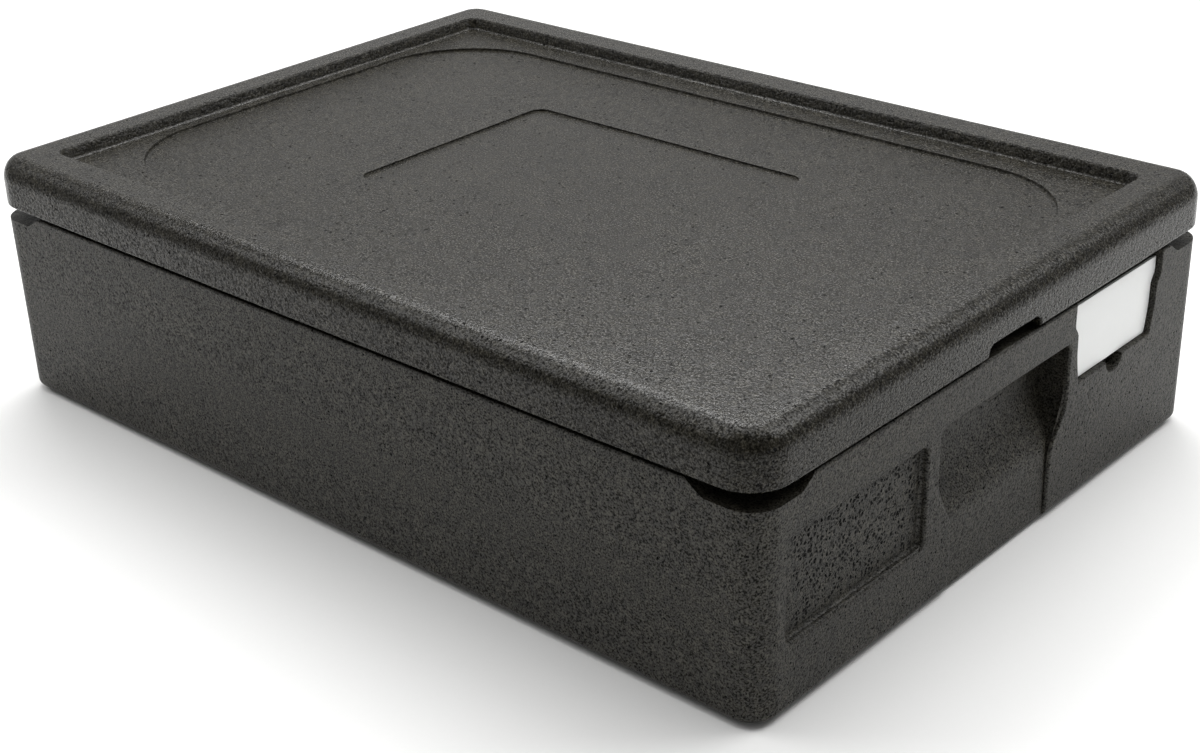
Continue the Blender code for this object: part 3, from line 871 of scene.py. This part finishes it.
class CARRIER_OT_stage(bpy.types.Operator):
    """Build the pale studio floor, the soft lights, the world and the camera"""

    bl_idname = "carrier.stage"
    bl_label = "Studio"

    def execute(self, context):
        stage = context.scene.carrier_stage
        scene = context.scene
        floor_mesh = bpy.data.meshes.new("studio_floor")
        size = 12.0
        floor_mesh.from_pydata(
            [(-size, -size, 0.0), (size, -size, 0.0), (size, size, 0.0), (-size, size, 0.0)],
            [], [(0, 1, 2, 3)])
        floor = bpy.data.objects.new("studio_floor", floor_mesh)
        scene.collection.objects.link(floor)
        floor.location.z = -0.0002
        floor.data.materials.append(self.paper(stage.floor_colour))
        centre = (0.0, 0.0, 0.1)
        self.soft_light("overhead_softbox", (0.0, 0.3, 1.7), centre, 2.4, 2.0, stage.overhead_power)
        self.soft_light("rear_left_strip", (-0.78, 0.66, 1.4), centre, 1.5, 0.12, stage.strip_power)
        self.soft_light("rear_right_softbox", (1.1, 1.2, 1.6), centre, 1.1, 0.8, stage.side_power)
        self.soft_light("front_left_softbox", (-1.2, -0.9, 1.5), centre, 0.9, 0.7, stage.front_power)
        self.world(scene)
        self.camera(scene, stage.lens)
        scene.view_settings.view_transform = "Standard"
        return {"FINISHED"}

    def paper(self, colour):
        """Matt white studio paper that shows pure white to the camera outside the shadow."""
        mat, tree, output = new_material("studio_paper")
        place = add_node(tree, "ShaderNodeTexCoord", {}, {}).outputs["Object"]
        fibre = add_node(tree, "ShaderNodeTexNoise", {}, {"Vector": place, "Scale": 300.0, "Detail": 2.0})
        base = linear(colour)
        tone = add_node(tree, "ShaderNodeMix", {"data_type": "RGBA"}, {
            "Factor": fibre.outputs["Fac"], "A": scaled(base, 0.985),
            "B": base}).outputs["Result"]
        shader = add_node(tree, "ShaderNodeBsdfPrincipled", {}, {
            "Base Color": tone, "Roughness": 0.9, "Specular IOR Level": 0.2})
        # far from the object the paper runs out into the white of the backdrop
        away = add_node(tree, "ShaderNodeVectorMath", {"operation": "LENGTH"}, {0: place})
        far = add_node(tree, "ShaderNodeMapRange", {"interpolation_type": "SMOOTHSTEP"}, {
            "Value": away.outputs["Value"], "From Min": 0.9, "From Max": 2.0,
            "To Min": 0.0, "To Max": 1.0}).outputs["Result"]
        path = add_node(tree, "ShaderNodeLightPath", {}, {})
        fade = add_node(tree, "ShaderNodeMath", {"operation": "MULTIPLY"}, {
            0: far, 1: path.outputs["Is Camera Ray"]}).outputs[0]
        white = add_node(tree, "ShaderNodeEmission", {}, {
            "Color": (1.0, 1.0, 1.0, 1.0), "Strength": 1.0})
        mix = add_node(tree, "ShaderNodeMixShader", {}, {
            0: fade, 1: shader.outputs["BSDF"], 2: white.outputs[0]})
        tree.links.new(mix.outputs[0], output.inputs["Surface"])
        return mat

    def soft_light(self, name, place, aim, width, depth, power):
        """Area light aimed at a point."""
        data = bpy.data.lights.new(name, "AREA")
        data.shape = "RECTANGLE"
        data.size = width
        data.size_y = depth
        data.energy = power
        lamp = bpy.data.objects.new(name, data)
        lamp.location = place
        lamp.rotation_euler = (Vector(aim) - Vector(place)).to_track_quat("-Z", "Y").to_euler()
        bpy.context.scene.collection.objects.link(lamp)

    def world(self, scene):
        """White to the camera; for the object a grey fill, brighter towards the backdrop."""
        world = bpy.data.worlds.new("studio_world")
        world.use_nodes = True
        tree = world.node_tree
        tree.nodes.clear()
        path = add_node(tree, "ShaderNodeLightPath", {}, {})
        place = add_node(tree, "ShaderNodeTexCoord", {}, {})
        toward_back = add_node(tree, "ShaderNodeVectorMath", {"operation": "DOT_PRODUCT"}, {
            0: place.outputs["Generated"], 1: (-0.70, 0.65, 0.30)})
        level = add_node(tree, "ShaderNodeMapRange", {}, {
            "Value": toward_back.outputs["Value"], "From Min": -1.0, "From Max": 1.0,
            "To Min": 0.05, "To Max": 0.68})
        fill = add_node(tree, "ShaderNodeBackground", {}, {
            "Color": (1.0, 1.0, 1.0, 1.0), "Strength": level.outputs["Result"]})
        white = add_node(tree, "ShaderNodeBackground", {}, {"Color": (1.0, 1.0, 1.0, 1.0), "Strength": 1.0})
        mix = add_node(tree, "ShaderNodeMixShader", {}, {
            0: path.outputs["Is Camera Ray"], 1: fill.outputs[0], 2: white.outputs[0]})
        output = tree.nodes.new("ShaderNodeOutputWorld")
        tree.links.new(mix.outputs[0], output.inputs["Surface"])
        scene.world = world

    def camera(self, scene, lens):
        """Camera above the near corner, looking at the long side and the right end."""
        data = bpy.data.cameras.new("studio_camera")
        data.sensor_width = 36.0
        data.lens = lens
        data.shift_y = -0.06
        data.clip_start = 0.05
        data.clip_end = 60.0
        camera = bpy.data.objects.new("studio_camera", data)
        position = (0.8789, -0.9380, 0.6534)
        azimuth, elevation, roll = math.radians(42.62), math.radians(24.26), math.radians(-1.89)
        back = Vector((
            math.sin(azimuth) * math.cos(elevation),
            -math.cos(azimuth) * math.cos(elevation),
            math.sin(elevation),
        ))
        right = (-back).cross(Vector((0.0, 0.0, 1.0))).normalized()
        up = back.cross(right)
        rolled_right = math.cos(roll) * right + math.sin(roll) * up
        rolled_up = -math.sin(roll) * right + math.cos(roll) * up
        camera.matrix_world = matrix_from(rolled_right, rolled_up, back, position)
        scene.collection.objects.link(camera)
        scene.camera = camera


def matrix_from(right, up, back, place):
    """Pose matrix from three axes and a position."""
    return Matrix((
        (right.x, up.x, back.x, place[0]),
        (right.y, up.y, back.y, place[1]),
        (right.z, up.z, back.z, place[2]),
        (0.0, 0.0, 0.0, 1.0),
    ))


class CARRIER_PT_panel(bpy.types.Panel):
    """Lists the pieces and the studio"""

    bl_idname = "CARRIER_PT_panel"
    bl_label = "Food carrier"
    bl_space_type = "VIEW_3D"
    bl_region_type = "UI"
    bl_category = "Carrier"

    def draw(self, context):
        for operator in OPERATORS:
            self.layout.operator(operator.bl_idname, text=operator.bl_label)


SETTINGS = (
    ("carrier_tub", CarrierTubSettings),
    ("carrier_lid", CarrierLidSettings),
    ("carrier_finish", CarrierFinishSettings),
    ("carrier_stage", CarrierStageSettings),
)
OPERATORS = (CARRIER_OT_tub, CARRIER_OT_lid, CARRIER_OT_label_plates, CARRIER_OT_stage)


def register():
    """Register the settings, operators and panel."""
    for name, group in SETTINGS:
        bpy.utils.register_class(group)
        setattr(bpy.types.Scene, name, bpy.props.PointerProperty(type=group))
    for operator in OPERATORS:
        bpy.utils.register_class(operator)
    bpy.utils.register_class(CARRIER_PT_panel)


def unregister():
    """Remove the panel, operators and settings."""
    bpy.utils.unregister_class(CARRIER_PT_panel)
    for operator in reversed(OPERATORS):
        bpy.utils.unregister_class(operator)
    for name, group in reversed(SETTINGS):
        delattr(bpy.types.Scene, name)
        bpy.utils.unregister_class(group)


def main():
    """Build every piece and the studio."""
    register()
    bpy.ops.carrier.tub()
    bpy.ops.carrier.lid()
    bpy.ops.carrier.label_plates()
    bpy.ops.carrier.stage()
    bpy.context.view_layer.update()


if __name__ == "__main__":
    main()
